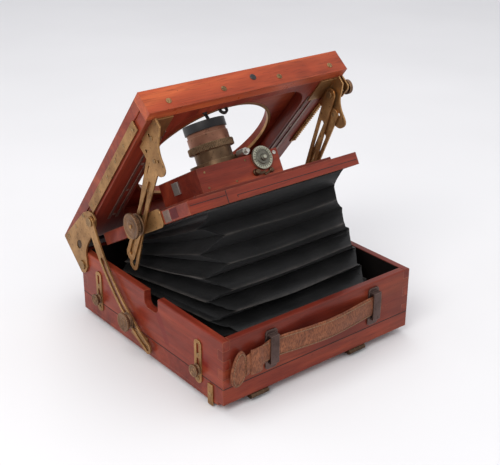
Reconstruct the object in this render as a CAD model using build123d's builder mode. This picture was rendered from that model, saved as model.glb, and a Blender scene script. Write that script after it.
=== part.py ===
"""Half-plate folding field camera lying on its back, bed half open, front standard on slotted arms.

Frame: origin at the centre of the back's rest face, +Z up (away from the back), -Y towards the
carrying strap, +X to the right. The bed is hinged at the +Y side. All lengths are millimetres.
"""
import math
import os

from build123d import *

os.makedirs("parts", exist_ok=True)

# ------------------------------------------------------------------ driving dimensions
BODY_X = 225.0          # body width across the side walls
BODY_Y = 233.0          # body length from strap side to hinge side
BODY_TOP = 70.6
SEAM_Z = 23.7           # joint between the body and the swing back
BACK_Z = 8.0            # top of the reversing back
SCREEN_Z = 4.7          # top of the focusing screen frame
WALL = 7.5
BRASS = 1.2             # brass sheet on the body sides

BED_ANGLE = 50.9        # bed above the body's top plane
BED_REAR = (148.5, 74.2)    # y, z of the bed's outer rear edge
BED_X = 225.4
BED_LENGTH = 238.6
BOARD_T = 11.0          # fixed bed board
RACK_T0 = 11.1          # inner sliding frame, near face
BED_T = 22.6
RAIL_S = 228.0          # where the front rail begins, along the bed
HOLE_S = 126.0
HOLE_R = 75.0

BED_PIVOT = (111.5, 55.5)       # y, z
STAY_CENTRE = (-95.0, 192.4)    # y, z of the centre of the curved stays
STAY_R = 199.4
STAY_PIN_ANGLE = -24.1          # on that curve, degrees from +Y: the pin on the bed ear
STAY_STUD_ANGLE = -53.5         # the clamp stud on the body
STAY_TAIL_ANGLE = -63.2         # the stay's free end
STAY_WIDTH = 11.0
STAY_SLOT = 5.6

ARM_A_PIVOT = (212.0, 31.0)     # along and across the bed
ARM_B_PIVOT = (199.0, 46.0)
ARM_T = 1.5
ARM_WIDTH = 13.0
ARM_SLOT = 5.0
ARM_A_LENGTH = 150.0
ARM_B_LENGTH = 124.0

PANEL_TILT = 29.5
PANEL_EDGE = (-55.5, 162.3)     # y, z of the panel's strap-side lower edge
PANEL_HALF = 98.9
PANEL_HEIGHT = 165.0
PANEL_T = 12.0
LENS_BOARD_T = 3.0
LENS_Q = 86.0                   # lens axis, from the panel's strap-side edge
STUD_Q = 82.0
STUD_H = 8.0

# ------------------------------------------------------------------ planes and helpers
BED_RAD = math.radians(BED_ANGLE)
BED_OUT = (0, -math.cos(BED_RAD), math.sin(BED_RAD))    # along the bed, rear to front
BED_IN = (0, -math.sin(BED_RAD), -math.cos(BED_RAD))    # into the camera
BED = Plane(origin=(0, *BED_REAR), x_dir=(1, 0, 0), z_dir=BED_IN)
TILT_RAD = math.radians(PANEL_TILT)
PANEL = Plane(
    origin=(0, *PANEL_EDGE),
    x_dir=(1, 0, 0),
    z_dir=(0, math.sin(TILT_RAD), math.cos(TILT_RAD)),
)
SIDES = (-1, 1)


def save(part, name):
    """Label one finished sub-part and write its STEP file."""
    part.part.label = name
    export_step(part.part, f"parts/{name}.step")


def side_plane(x):
    """Plane across the camera at x, with local axes Y and Z."""
    return Plane(origin=(x, 0, 0), x_dir=(0, 1, 0), z_dir=(1, 0, 0))


def bed_point(s, t):
    """y, z of a point s along the bed and t into it."""
    y = BED_REAR[0] + BED_OUT[1] * s + BED_IN[1] * t
    z = BED_REAR[1] + BED_OUT[2] * s + BED_IN[2] * t
    return y, z


def panel_point(q, h):
    """y, z of a point q down the panel and h above its bellows side."""
    y = PANEL_EDGE[0] + math.cos(TILT_RAD) * q + math.sin(TILT_RAD) * h
    z = PANEL_EDGE[1] - math.sin(TILT_RAD) * q + math.cos(TILT_RAD) * h
    return y, z


def bed_side_plane(x):
    """Plane across the camera at x, with local axes along the bed and into it."""
    return Plane(origin=(x, *BED_REAR), x_dir=BED_OUT, z_dir=(1, 0, 0))


def stay_point(angle):
    """y, z of a point on the middle line of the stays."""
    turn = math.radians(angle)
    y = STAY_CENTRE[0] + STAY_R * math.cos(turn)
    z = STAY_CENTRE[1] + STAY_R * math.sin(turn)
    return y, z


CLAMP_POINT = panel_point(STUD_Q, STUD_H)
STAY_PIN = stay_point(STAY_PIN_ANGLE)
STAY_STUD = stay_point(STAY_STUD_ANGLE)

# ------------------------------------------------------------------ fixing points on the two long sides
SIDE_X = BODY_X / 2
SCREW_R = 1.1               # screw shank
SCREW_DEPTH = 4.0
HEAD_T = 0.6
PIN_R = 2.5
STUD_R = 1.5
SWING_STUD_R = 1.4
PLATE_Y = (-81.5, 83.7)     # the two swing plates on each side
SWING_KNOB_Z = 28.8
GUIDE_PIN_Z = 43.4
PLATE_SCREW_Z = 19.4
CATCH_SCREW = (-99.0, 12.0)
HEX_MIDDLE = (38.0, 26.5)
CORNER_SCREWS = ((2.5, 12.5), (19.0, 18.5))


def side_cylinder(side, point, x_from, x_to, radius, bore=0.0):
    """Round boss, pin or washer along X, between two distances from the centre plane."""
    with BuildSketch(side_plane(side * x_from), mode=Mode.PRIVATE) as ring:
        with Locations(point):
            Circle(radius)
            if bore:
                Circle(bore, mode=Mode.SUBTRACT)
    extrude(ring.sketch, amount=side * (x_to - x_from))


def turned_knob(name, side, point, x_from, radius, length, bore):
    """Clamp knob turned along X: two knurled flanges with a waist, and a domed screw end."""
    flange = length * 0.3
    waist = radius * 0.72
    with BuildPart() as knob:
        side_cylinder(side, point, x_from, x_from + flange, radius * 0.86, bore)
        side_cylinder(side, point, x_from + flange, x_from + length - flange, waist, bore)
        side_cylinder(side, point, x_from + length - flange, x_from + length, radius)
    save(knob, name)


# ------------------------------------------------------------------ body walls
FINGERS = 5
FINGER_H = (BODY_TOP - SEAM_Z) / FINGERS
NOTCH_Y = (-19.5, 2.5)
NOTCH_Z = 55.0
INNER_X = BODY_X / 2 - WALL
INNER_Y = BODY_Y / 2 - WALL


def finger_levels(first):
    """Middle heights of every second finger, starting at the given one."""
    return [SEAM_Z + FINGER_H * (k + 0.5) for k in range(first, FINGERS, 2)]


def make_side_wall(name, side):
    """Long side wall with its half of the finger joints and the notch for the clamp screw."""
    x = side * (BODY_X - WALL) / 2
    middle_z = (SEAM_Z + BODY_TOP) / 2
    with BuildPart() as wall:
        with Locations((x, 0, middle_z)):
            Box(WALL, 2 * INNER_Y, BODY_TOP - SEAM_Z)
        for end in SIDES:
            y = end * (BODY_Y - WALL) / 2
            with Locations(*[(x, y, z) for z in finger_levels(0)]):
                Box(WALL, WALL, FINGER_H)
        with BuildSketch(side_plane(x - WALL / 2)):
            with Locations(((NOTCH_Y[0] + NOTCH_Y[1]) / 2, BODY_TOP)):
                RectangleRounded(NOTCH_Y[1] - NOTCH_Y[0], 2 * (BODY_TOP - NOTCH_Z), 6)
        extrude(amount=WALL, mode=Mode.SUBTRACT)
        top_edges = wall.edges().filter_by(Axis.Y).group_by(Axis.Z)[-1]
        fillet(top_edges, 1.2)
        with BuildSketch(side_plane(side * SIDE_X)):
            with Locations(BED_PIVOT):
                Circle(PIN_R)
            with Locations(STAY_STUD):
                Circle(STUD_R)
            for plate_y in PLATE_Y:
                with Locations((plate_y, SWING_KNOB_Z)):
                    Circle(SWING_STUD_R)
            with Locations(HEX_MIDDLE):
                Circle(SCREW_R)
        extrude(amount=-side * SCREW_DEPTH, mode=Mode.SUBTRACT)
    save(wall, name)


def make_end_wall(name, end):
    """Short wall at the strap side or the hinge side, with the other half of the fingers."""
    y = end * (BODY_Y - WALL) / 2
    middle_z = (SEAM_Z + BODY_TOP) / 2
    with BuildPart() as wall:
        with Locations((0, y, middle_z)):
            Box(2 * INNER_X, WALL, BODY_TOP - SEAM_Z)
        for side in SIDES:
            x = side * (BODY_X - WALL) / 2
            with Locations(*[(x, y, z) for z in finger_levels(1)]):
                Box(WALL, WALL, FINGER_H)
        top_edges = wall.edges().filter_by(Axis.X).group_by(Axis.Z)[-1]
        fillet(top_edges, 1.2)
        for side in SIDES:
            with BuildSketch(side_plane(side * SIDE_X)):
                with Locations(BED_PIVOT):
                    Circle(PIN_R)
            extrude(amount=-side * SCREW_DEPTH, mode=Mode.SUBTRACT)
    save(wall, name)


make_side_wall("body_wall_left", -1)
make_side_wall("body_wall_right", 1)
make_end_wall("body_wall_strap_side", -1)
make_end_wall("body_wall_hinge_side", 1)

# ------------------------------------------------------------------ frame holding the bellows
FRAME_Z = 24.0
FRAME_T = 6.0
FRAME_GAP = 0.2

with BuildPart() as bellows_frame:
    with BuildSketch(Plane.XY.offset(FRAME_Z)):
        Rectangle(2 * (INNER_X - FRAME_GAP), 2 * (INNER_Y - FRAME_GAP))
        Rectangle(2 * INNER_X - 26, 2 * INNER_Y - 26, mode=Mode.SUBTRACT)
    extrude(amount=FRAME_T)
save(bellows_frame, "bellows_frame")

# ------------------------------------------------------------------ carrying strap and its clips
CLIP_X = (-60.5, 64.0)      # middles of the two clips
CLIP_HALF = 6.5
CLIP_Z = (27.0, 65.5)
STRAP_Z = (38.0, 58.0)
STRAP_T = 2.6
HANDLE_Y = -BODY_Y / 2
STRAP_SLACK = 6.5
TONGUE = (-96.5, 41.0)     # middle of the hanging end, x and z
TONGUE_HALF = (8.5, 17.0)

with BuildPart() as clips:
    for clip_x in CLIP_X:
        with BuildSketch(Plane.XZ.offset(-HANDLE_Y)):
            with Locations((clip_x, (CLIP_Z[0] + CLIP_Z[1]) / 2)):
                RectangleRounded(2 * CLIP_HALF, CLIP_Z[1] - CLIP_Z[0], 3)
            with Locations((clip_x, (STRAP_Z[0] + STRAP_Z[1]) / 2)):
                Rectangle(2 * CLIP_HALF - 6, STRAP_Z[1] - STRAP_Z[0] + 3, mode=Mode.SUBTRACT)
        extrude(amount=1.6)
        bridge_z = (STRAP_Z[0] + STRAP_Z[1]) / 2
        bridge_h = STRAP_Z[1] - STRAP_Z[0] + 8
        for edge in SIDES:
            with Locations((clip_x, HANDLE_Y - 3.2, bridge_z + edge * (bridge_h - 2) / 2)):
                Box(2 * CLIP_HALF - 4, 6.4, 2)
        with Locations((clip_x, HANDLE_Y - 6.1, bridge_z)):
            Box(2 * CLIP_HALF - 4, 1.4, bridge_h)
save(clips, "strap_clips")


def strap_line(depth):
    """Points of the strap's run along the strap-side wall, at a depth outside the wall."""
    return [
        (CLIP_X[1] + 7, HANDLE_Y - depth),
        (CLIP_X[1] - 11, HANDLE_Y - depth),
        (2, HANDLE_Y - depth - STRAP_SLACK),
        (CLIP_X[0] + 11, HANDLE_Y - depth),
        (CLIP_X[0] - 12, HANDLE_Y - depth),
        (TONGUE[0], HANDLE_Y - depth - 1.5),
    ]


STRAP_IN = 2.2
STRAP_OUT = STRAP_IN + STRAP_T

with BuildPart() as strap:
    with BuildSketch(Plane.XY.offset(STRAP_Z[0])):
        with BuildLine():
            near = Spline(*strap_line(STRAP_IN))
            far = Spline(*strap_line(STRAP_OUT))
            Line(near @ 0, far @ 0)
            Line(near @ 1, far @ 1)
        make_face()
    extrude(amount=STRAP_Z[1] - STRAP_Z[0])
    with BuildSketch(Plane.XZ.offset(-HANDLE_Y + STRAP_IN + 1.5)):
        with Locations(TONGUE):
            Ellipse(*TONGUE_HALF)
    extrude(amount=STRAP_T)
save(strap, "carrying_strap")

# ------------------------------------------------------------------ swing back and its plates
BACK_INSET_Y = 8.0      # reversing back stands in from the strap side
BACK_INSET_X = 5.0      # and from the right side
PLATE_Z = (15.0, 58.0)
PLATE_WIDTH = 10.0
PLATE_SLOT = 3.4
LOWER_SLOT = (27.0, 40.2)
UPPER_SLOT = (41.6, 54.8)
CATCH_MIDDLE_Z = 11.5

with BuildPart() as swing_frame:
    with BuildSketch(Plane.XY.offset(BACK_Z)):
        Rectangle(BODY_X, BODY_Y)
        Rectangle(BODY_X - 36, BODY_Y - 44, mode=Mode.SUBTRACT)
    extrude(amount=SEAM_Z - BACK_Z)
    for side in SIDES:
        with BuildSketch(side_plane(side * SIDE_X)):
            with Locations(*[(plate_y, PLATE_SCREW_Z) for plate_y in PLATE_Y]):
                Circle(SCREW_R)
            with Locations(CATCH_SCREW, *CORNER_SCREWS):
                Circle(SCREW_R)
        extrude(amount=-side * SCREW_DEPTH, mode=Mode.SUBTRACT)
save(swing_frame, "swing_back_frame")

with BuildPart() as plates:
    for side in SIDES:
        for plate_y in PLATE_Y:
            with BuildSketch(side_plane(side * SIDE_X)):
                with Locations((plate_y, (PLATE_Z[0] + PLATE_Z[1]) / 2)):
                    RectangleRounded(PLATE_WIDTH, PLATE_Z[1] - PLATE_Z[0], 4.5)
                for low, high in (LOWER_SLOT, UPPER_SLOT):
                    with Locations((plate_y, (low + high) / 2)):
                        SlotOverall(high - low, PLATE_SLOT, rotation=90, mode=Mode.SUBTRACT)
                with Locations((plate_y, PLATE_SCREW_Z)):
                    Circle(SCREW_R, mode=Mode.SUBTRACT)
            extrude(amount=side * BRASS)
    with BuildSketch(side_plane(-SIDE_X)):
        with Locations((CATCH_SCREW[0], CATCH_MIDDLE_Z)):
            RectangleRounded(7, 21, 1)
        with Locations(CATCH_SCREW):
            Circle(SCREW_R, mode=Mode.SUBTRACT)
    extrude(amount=-BRASS)
save(plates, "swing_plates")

with BuildPart() as reversing_back:
    with BuildSketch(Plane.XY.offset(SCREEN_Z + 0.1)):
        with Locations((-BACK_INSET_X / 2, BACK_INSET_Y / 2)):
            Rectangle(BODY_X - BACK_INSET_X, BODY_Y - BACK_INSET_Y)
        with Locations((-2, 4)):
            Rectangle(170, 126, mode=Mode.SUBTRACT)
    extrude(amount=BACK_Z - SCREEN_Z - 0.1)
save(reversing_back, "reversing_back")

# ------------------------------------------------------------------ focusing screen
SCREEN_HINGE_X = (-72.5, 46.0)
SCREEN_HINGE = (-116.0, 5.4)    # y, z of the hinge pin
GLASS = (165.0, 121.0)
SCREEN_MIDDLE = (-2.0, 4.0)

with BuildPart() as screen_frame:
    with BuildSketch():
        with Locations(SCREEN_MIDDLE):
            Rectangle(208, 216)
            Rectangle(GLASS[0] - 5, GLASS[1] - 5, mode=Mode.SUBTRACT)
    extrude(amount=SCREEN_Z)
    with BuildSketch(Plane.XY.offset(2.4)):
        with Locations(SCREEN_MIDDLE):
            Rectangle(GLASS[0] + 0.4, GLASS[1] + 0.4)
    extrude(amount=SCREEN_Z, mode=Mode.SUBTRACT)
save(screen_frame, "screen_frame")

with BuildPart() as ground_glass:
    with BuildSketch(Plane.XY.offset(2.4)):
        with Locations(SCREEN_MIDDLE):
            Rectangle(*GLASS)
    extrude(amount=2.0)
save(ground_glass, "ground_glass")

KNUCKLE_R = 2.4
KNUCKLE_PIN_R = 1.0
KNUCKLE = 6.4
KNUCKLE_GAP = 0.2

with BuildPart() as fixed_leaves:
    for hinge_x in SCREEN_HINGE_X:
        with BuildSketch(side_plane(hinge_x - KNUCKLE / 2)):
            with Locations(SCREEN_HINGE):
                Circle(KNUCKLE_R)
            with Locations(((SCREEN_HINGE[0] - 108.5) / 2 + 0.5, 6.4)):
                Rectangle(abs(SCREEN_HINGE[0] + 108.5) - 1, 2.4)
            with Locations(SCREEN_HINGE):
                Circle(KNUCKLE_PIN_R + 0.05, mode=Mode.SUBTRACT)
        extrude(amount=KNUCKLE)
        with Locations((hinge_x, -109.1, 6.4)):
            Box(20, 1.2, 2.8)
save(fixed_leaves, "screen_hinge_leaves")

with BuildPart() as moving_leaves:
    for hinge_x in SCREEN_HINGE_X:
        for end in SIDES:
            start = hinge_x + end * (KNUCKLE / 2 + KNUCKLE_GAP)
            with BuildSketch(side_plane(start)):
                with Locations(SCREEN_HINGE):
                    Circle(KNUCKLE_R)
                with Locations(((SCREEN_HINGE[0] - 104.0) / 2, 3.3)):
                    Rectangle(12, 1.2)
            extrude(amount=end * KNUCKLE)
        with BuildSketch(side_plane(hinge_x - KNUCKLE)):
            with Locations(SCREEN_HINGE):
                Circle(KNUCKLE_PIN_R)
        extrude(amount=2 * KNUCKLE)
save(moving_leaves, "screen_hinge_straps")

# ------------------------------------------------------------------ pins, plates and screws on the body
EAR_X = BED_X / 2           # inner face of the bed ears
EAR_T = 2.0
STAY_X = EAR_X + EAR_T + 0.4
STAY_T = 2.0
PIN_DEPTH = SIDE_X - SCREW_DEPTH


with BuildPart() as pins:
    for side in SIDES:
        side_cylinder(side, BED_PIVOT, PIN_DEPTH, EAR_X + EAR_T + 0.1, PIN_R)
        side_cylinder(side, BED_PIVOT, EAR_X + EAR_T + 0.1, EAR_X + EAR_T + 1.4, PIN_R + 2.3)
        side_cylinder(side, STAY_STUD, PIN_DEPTH, STAY_X + STAY_T + 5, STUD_R)
        for plate_y in PLATE_Y:
            knob_point = (plate_y, SWING_KNOB_Z)
            side_cylinder(side, knob_point, PIN_DEPTH, SIDE_X + BRASS + 3.9, SWING_STUD_R)
            side_cylinder(side, (plate_y, GUIDE_PIN_Z), SIDE_X, SIDE_X + BRASS, SWING_STUD_R)
save(pins, "body_studs")

CORNER_PLATE = [(27.0, 16.5), (21.0, 23.2), (-1.0, 22.0), (-1.0, 9.0), (3.0, 8.6)]

with BuildPart() as hex_plates:
    for side in SIDES:
        with BuildSketch(side_plane(side * SIDE_X)):
            with Locations(HEX_MIDDLE):
                RegularPolygon(8.0, 6, rotation=20)
                Circle(SCREW_R, mode=Mode.SUBTRACT)
        extrude(amount=side * BRASS)
save(hex_plates, "hex_plates")

with BuildPart() as corner_plates:
    for side in SIDES:
        with BuildSketch(side_plane(side * SIDE_X)):
            with BuildLine():
                Polyline(*CORNER_PLATE, close=True)
            make_face()
            with Locations(*CORNER_SCREWS):
                Circle(SCREW_R, mode=Mode.SUBTRACT)
        extrude(amount=side * BRASS)
save(corner_plates, "corner_plates")


def side_screw(side, point, x_face, radius):
    """Round-headed screw let into a face across X, its head standing on the brass."""
    side_cylinder(side, point, SIDE_X - SCREW_DEPTH, x_face, SCREW_R)
    side_cylinder(side, point, x_face, x_face + HEAD_T, radius)


with BuildPart() as body_screws:
    for side in SIDES:
        side_screw(side, HEX_MIDDLE, SIDE_X + BRASS, 2.0)
save(body_screws, "hex_plate_screws")

with BuildPart() as swing_screws:
    for side in SIDES:
        for plate_y in PLATE_Y:
            side_screw(side, (plate_y, PLATE_SCREW_Z), SIDE_X + BRASS, 2.4)
        for point in CORNER_SCREWS:
            side_screw(side, point, SIDE_X + BRASS, 2.0)
    side_screw(-1, CATCH_SCREW, SIDE_X + BRASS, 2.2)
save(swing_screws, "swing_plate_screws")

# ------------------------------------------------------------------ clamp knobs on the two long sides
for side, word in zip(SIDES, ("left", "right")):
    turned_knob(f"stay_knob_{word}", side, STAY_STUD, STAY_X + STAY_T + 0.2, 9.5, 7.5, STUD_R + 0.05)
    for plate_y, place in zip(PLATE_Y, ("front", "rear")):
        turned_knob(
            f"swing_knob_{place}_{word}",
            side,
            (plate_y, SWING_KNOB_Z),
            SIDE_X + BRASS + 0.1,
            6.0,
            5.6,
            SWING_STUD_R + 0.05,
        )

# ------------------------------------------------------------------ curved stays
SLOT_START = 11.0       # degrees of plain bar between the pin and the slot


def stay_arc(first, last):
    """Middle line of a stay between two angles on its curve."""
    with BuildLine(mode=Mode.PRIVATE) as arc:
        CenterArc(STAY_CENTRE, STAY_R, first, last - first)
    return arc.edge()


for side, word in zip(SIDES, ("left", "right")):
    with BuildPart() as stay:
        with BuildSketch(side_plane(side * STAY_X)):
            SlotArc(stay_arc(STAY_TAIL_ANGLE, STAY_PIN_ANGLE), STAY_WIDTH)
            SlotArc(stay_arc(STAY_TAIL_ANGLE, STAY_PIN_ANGLE - SLOT_START), STAY_SLOT, mode=Mode.SUBTRACT)
            with Locations(STAY_PIN):
                Circle(PIN_R + 0.05, mode=Mode.SUBTRACT)
        extrude(amount=side * STAY_T)
    save(stay, f"stay_{word}")

# ------------------------------------------------------------------ bed board, ring, strips and ears
EAR_SCREW_S = (12.0, 34.0, 58.0)
EAR_SCREW_T = 6.5
STRIP_S = ((76.0, 212.0), (76.0, 203.0))        # left, right
STRIP_T = (10.0, 20.0)


def bed_side_cylinder(side, point, x_from, x_to, radius, bore=0.0):
    """Round boss, pin or washer along X, placed in bed coordinates."""
    side_cylinder(side, bed_point(*point), x_from, x_to, radius, bore)


with BuildPart() as bed_board:
    with BuildSketch(BED):
        with Locations((0, RAIL_S / 2 - 0.1)):
            Rectangle(BED_X, RAIL_S - 0.2)
        with Locations((0, HOLE_S)):
            Circle(HOLE_R, mode=Mode.SUBTRACT)
    extrude(amount=BOARD_T)
save(bed_board, "bed_board")

RING_W = 3.0

with BuildPart() as turntable:
    with BuildSketch(BED.offset(BOARD_T - 3)):
        with Locations((0, HOLE_S)):
            Circle(HOLE_R - 0.1)
            Circle(HOLE_R - RING_W, mode=Mode.SUBTRACT)
    extrude(amount=3)
save(turntable, "turntable_ring")

with BuildPart() as strips:
    for side, strip in zip(SIDES, STRIP_S):
        with BuildSketch(bed_side_plane(side * EAR_X)):
            with Locations((sum(strip) / 2, sum(STRIP_T) / 2)):
                Rectangle(strip[1] - strip[0], STRIP_T[1] - STRIP_T[0])
        extrude(amount=side * BRASS)
save(strips, "bed_guide_strips")

PIVOT_ST = (8.83, 40.5)         # the bed hinge in bed coordinates
EAR_TOP = [(2.8, 2.2), (61, 9.7), (71, 14.5), (75, 20), (74, 27), (67.5, 31), (60, 31)]
EAR_LOW = [(60, 31), (49, 32.8), (35.6, 33.6), (25, 37.6), (21.5, 41.5)]
EAR_TIP = [(21.5, 41.5), (15.5, 47), (6, 48.4), (-0.1, 44.5), (2.8, 2.2)]

with BuildPart() as ears:
    for side in SIDES:
        with BuildSketch(bed_side_plane(side * EAR_X)):
            with BuildLine():
                Polyline(*EAR_TOP)
                Spline(*EAR_LOW)
                Polyline(*EAR_TIP)
            make_face()
            with Locations((22.9, 24.2)):
                Ellipse(6, 4, mode=Mode.SUBTRACT)
            with Locations(PIVOT_ST):
                Circle(PIN_R + 0.05, mode=Mode.SUBTRACT)
        extrude(amount=side * EAR_T)
save(ears, "bed_ears")

STAY_PIN_ST = (67.3, 24.46)
STAY_PIN_R = 2.4

with BuildPart() as bed_pins:
    for side in SIDES:
        bed_side_cylinder(side, STAY_PIN_ST, EAR_X + EAR_T, STAY_X + STAY_T + 0.1, STAY_PIN_R)
        bed_side_cylinder(side, STAY_PIN_ST, STAY_X + STAY_T + 0.1, STAY_X + STAY_T + 1.4, 4.5)
        for screw_s in EAR_SCREW_S:
            screw_at = (screw_s, EAR_SCREW_T + screw_s * 0.09)
            bed_side_cylinder(side, screw_at, EAR_X + EAR_T, EAR_X + EAR_T + 0.3, 2.2)
save(bed_pins, "bed_pins")

# ------------------------------------------------------------------ focusing: bracket, pinion and knob
PINION_ST = (218.0, 30.0)
PINION_TEETH = 10
MODULE = 1.0
PITCH_R = PINION_TEETH * MODULE / 2
TOOTH = 0.9
RACK_X = (106.5, 110.5)
SHAFT_R = 2.4
KNOB_X = 115.2

with BuildPart() as bracket:
    with BuildSketch(bed_side_plane(EAR_X)):
        with Locations((PINION_ST[0], 19)):
            RectangleRounded(19, 34, 4)
        with Locations(PINION_ST):
            Circle(SHAFT_R + 0.05, mode=Mode.SUBTRACT)
    extrude(amount=1.5)
save(bracket, "focus_bracket")

with BuildPart() as focus_knob:
    with BuildSketch(bed_side_plane(RACK_X[0])):
        with Locations(PINION_ST):
            Circle(PITCH_R - 1.0)
            with PolarLocations(PITCH_R - 0.2, PINION_TEETH, start_angle=-90):
                Rectangle(2.2, TOOTH)
    extrude(amount=RACK_X[1] - RACK_X[0])
    bed_side_cylinder(1, PINION_ST, RACK_X[1], KNOB_X, SHAFT_R)
    bed_side_cylinder(1, PINION_ST, KNOB_X, KNOB_X + 1.2, 6.0)
    bed_side_cylinder(1, PINION_ST, KNOB_X + 1.2, KNOB_X + 3.0, 4.6)
    bed_side_cylinder(1, PINION_ST, KNOB_X + 3.0, KNOB_X + 6.4, 7.2)
save(focus_knob, "focus_knob")

# ------------------------------------------------------------------ inner sliding frame and front rail
RACK_HALF = 111.6
RACK_S0 = 25.0
OPENING_X = 79.0
OPENING_S = (45.0, 220.0)
RACK_ROW = (120.0, 224.0)
RACK_BASE = 1.2
RACK_TOP = 25.9

with BuildPart() as rack_frame:
    with BuildSketch(BED.offset(RACK_T0)):
        with Locations((0, (RACK_S0 + RAIL_S) / 2)):
            Rectangle(2 * RACK_HALF, RAIL_S - RACK_S0)
        with Locations((0, sum(OPENING_S) / 2)):
            RectangleRounded(2 * OPENING_X, OPENING_S[1] - OPENING_S[0], 30, mode=Mode.SUBTRACT)
    extrude(amount=BED_T - RACK_T0)
save(rack_frame, "rack_frame")

RAIL_SCREW_X = (-89.2, -30.7, 32.8, 95.1)
RAIL_STUD = (5.2, 9.3)
RAIL_SCREW_T = 14.5
RAIL_FRONT = Plane(origin=(0, *bed_point(BED_LENGTH, 0)), x_dir=(1, 0, 0), z_dir=BED_OUT)

with BuildPart() as front_rail:
    with BuildSketch(BED):
        with Locations((0, (RAIL_S + BED_LENGTH) / 2)):
            Rectangle(BED_X, BED_LENGTH - RAIL_S)
    extrude(amount=BED_T)
    with BuildSketch(RAIL_FRONT):
        with Locations(*[(screw_x, -RAIL_SCREW_T) for screw_x in RAIL_SCREW_X]):
            Circle(SCREW_R)
        with Locations((RAIL_STUD[0], -RAIL_STUD[1])):
            Circle(SCREW_R)
    extrude(amount=-SCREW_DEPTH, mode=Mode.SUBTRACT)
save(front_rail, "front_rail")

with BuildPart() as rail_screws:
    with BuildSketch(RAIL_FRONT.offset(-SCREW_DEPTH)):
        with Locations(*[(screw_x, -RAIL_SCREW_T) for screw_x in RAIL_SCREW_X]):
            Circle(SCREW_R)
        with Locations((RAIL_STUD[0], -RAIL_STUD[1])):
            Circle(SCREW_R)
    extrude(amount=SCREW_DEPTH)
    with BuildSketch(RAIL_FRONT):
        with Locations(*[(screw_x, -RAIL_SCREW_T) for screw_x in RAIL_SCREW_X]):
            Circle(2.6)
        with Locations((RAIL_STUD[0], -RAIL_STUD[1])):
            Circle(3.2)
    extrude(amount=0.8)
save(rail_screws, "rail_screws")

with BuildPart() as focus_rack:
    with BuildSketch(bed_side_plane(RACK_X[0])):
        with Locations((sum(RACK_ROW) / 2, BED_T + RACK_BASE / 2)):
            Rectangle(RACK_ROW[1] - RACK_ROW[0], RACK_BASE)
        pitch = math.pi * MODULE
        after = int((RACK_ROW[1] - PINION_ST[0]) / pitch - 0.8)
        before = int((PINION_ST[0] - RACK_ROW[0]) / pitch - 0.8)
        tooth_h = RACK_TOP - BED_T - RACK_BASE
        for k in range(-before, after + 1):
            with Locations((PINION_ST[0] + (k + 0.5) * pitch, BED_T + RACK_BASE + tooth_h / 2)):
                Rectangle(TOOTH, tooth_h)
    extrude(amount=RACK_X[1] - RACK_X[0])
save(focus_rack, "focus_rack")

# ------------------------------------------------------------------ arm brackets and small rail fittings
BRACKET_X = 104.2
BRACKET_T = 1.5
FOOT_X = 85.0
ARM_B_X = 102.5
ARM_A_X = 100.7
ARM_PIN_R = 2.0
BRACKET_EDGE = [(190, 24.1), (190, 40), (191, 52), (196, 61), (204, 62), (209, 52), (214, 43), (222, 38)]
BRACKET_BACK = [(222, 38), (231, 33), (232, 24.1)]

with BuildPart() as brackets:
    for side in SIDES:
        with BuildSketch(bed_side_plane(side * BRACKET_X)):
            with BuildLine():
                Spline(*BRACKET_EDGE)
                Polyline(*BRACKET_BACK, BRACKET_EDGE[0])
            make_face()
            with Locations((211, 27), (204, 50), (196, 33)):
                Circle(1.6, mode=Mode.SUBTRACT)
            with Locations(ARM_A_PIVOT, ARM_B_PIVOT):
                Circle(ARM_PIN_R, mode=Mode.SUBTRACT)
        extrude(amount=side * BRACKET_T)
        with BuildSketch(BED.offset(BED_T)):
            with Locations((side * (FOOT_X + BRACKET_X + BRACKET_T) / 2, 213)):
                Rectangle(BRACKET_X + BRACKET_T - FOOT_X, 30)
        extrude(amount=BRACKET_T)
save(brackets, "arm_brackets")

with BuildPart() as arm_pins:
    for side in SIDES:
        bed_side_cylinder(side, ARM_A_PIVOT, ARM_A_X - 1.5, ARM_A_X - 0.1, 3.2)
        bed_side_cylinder(side, ARM_A_PIVOT, ARM_A_X - 0.1, BRACKET_X + BRACKET_T + 0.6, ARM_PIN_R)
        bed_side_cylinder(side, ARM_B_PIVOT, ARM_B_X, BRACKET_X + BRACKET_T + 0.6, ARM_PIN_R)
save(arm_pins, "arm_pins")

with BuildPart() as fittings:
    with BuildSketch(Plane(origin=(-22.5, *bed_point(210, 20)), x_dir=(1, 0, 0), z_dir=BED_OUT)):
        Circle(4.2)
        Circle(2.4, mode=Mode.SUBTRACT)
    extrude(amount=7)
    with BuildSketch(Plane(origin=(-41.5, *bed_point(210, 16)), x_dir=(1, 0, 0), z_dir=BED_OUT)):
        Rectangle(5, 5)
    extrude(amount=10)
    with BuildSketch(Plane(origin=(-41.5, *bed_point(210, 16)), x_dir=(1, 0, 0), z_dir=BED_OUT)):
        with Locations((0, -5)):
            Rectangle(3, 10)
    extrude(amount=2)
save(fittings, "rail_fittings")

# ------------------------------------------------------------------ slotted arms
STUD_BACK = BED_REAR[0] - CLAMP_POINT[0]        # clamp stud forward of the bed's rear edge, level
STUD_UP = CLAMP_POINT[1] - BED_REAR[1]          # and above it
STUD_ST_S = STUD_BACK * math.cos(BED_RAD) + STUD_UP * math.sin(BED_RAD)
STUD_ST_T = STUD_BACK * math.sin(BED_RAD) - STUD_UP * math.cos(BED_RAD)
CLAMP_STUD_R = 1.9


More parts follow.
